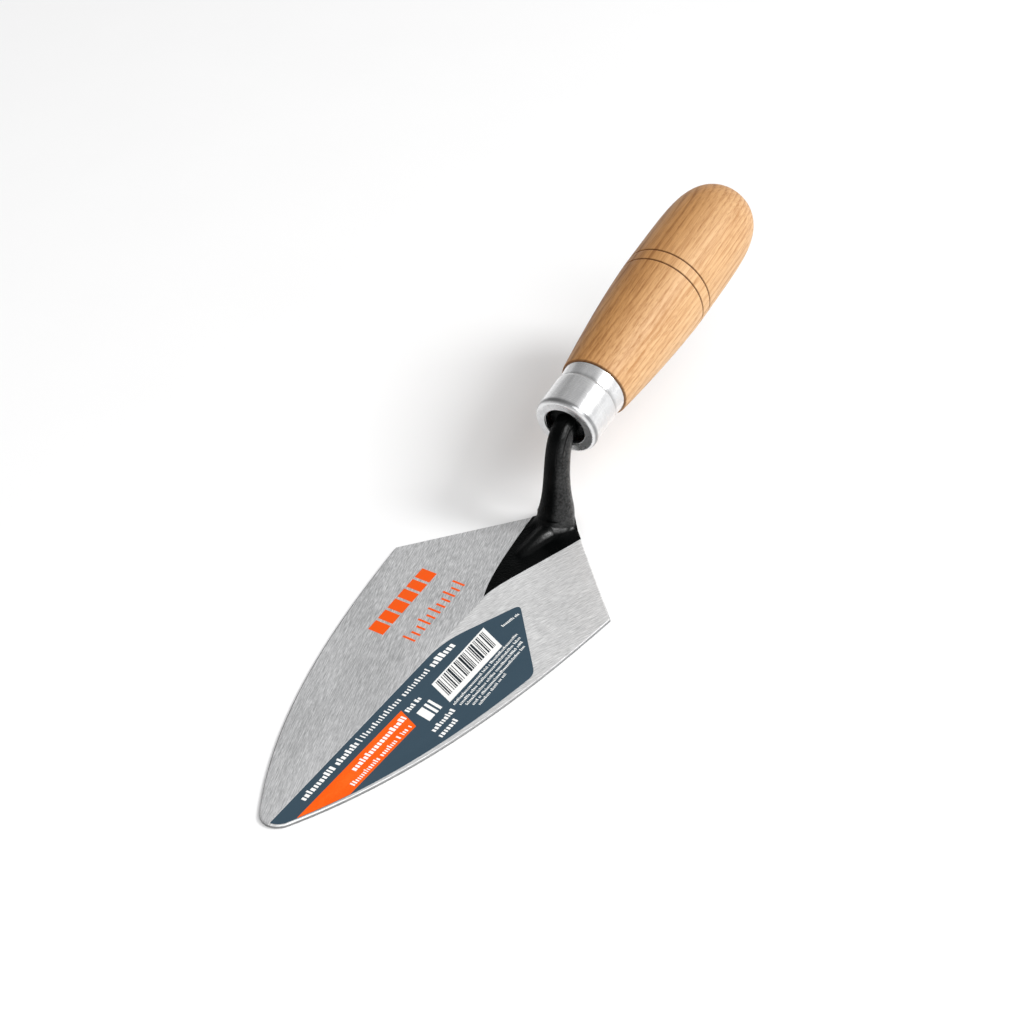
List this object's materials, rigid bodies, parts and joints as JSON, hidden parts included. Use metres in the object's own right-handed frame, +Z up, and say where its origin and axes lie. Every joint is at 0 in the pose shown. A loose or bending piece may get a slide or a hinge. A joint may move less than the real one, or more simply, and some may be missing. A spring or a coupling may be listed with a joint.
{
  "type": "brick trowel",
  "caption": "Pointed brick trowel: forged steel blade with cranked shank, ferrule and turned wooden handle, printed label on the blade.",
  "frame": {"origin": "on the blade's flat underside, on its centre line, at the widest station between the two shoulders", "axes": "+X from the blade's tip towards the handle's butt, +Z up and away from the underside"},
  "size_m": [0.3004, 0.0846, 0.0764],
  "materials": {
    "ground_steel": "ground with fine straight scratches",
    "black_lacquer": "gloss black lacquer",
    "ferrule_steel": "bright plated, polished",
    "turned_wood": "clear satin lacquer on light hardwood",
    "label_film": "satin slate-blue printed film",
    "label_orange": "satin orange print",
    "label_white": "satin white print",
    "label_dark": "satin dark print",
    "orange_ink": "flat orange pad print"
  },
  "bodies": {
    "root": {"forging": "ground_steel", "ferrule": "ferrule_steel", "handle": "turned_wood", "blade_label": "label_film"}
  },
  "joints": []
}
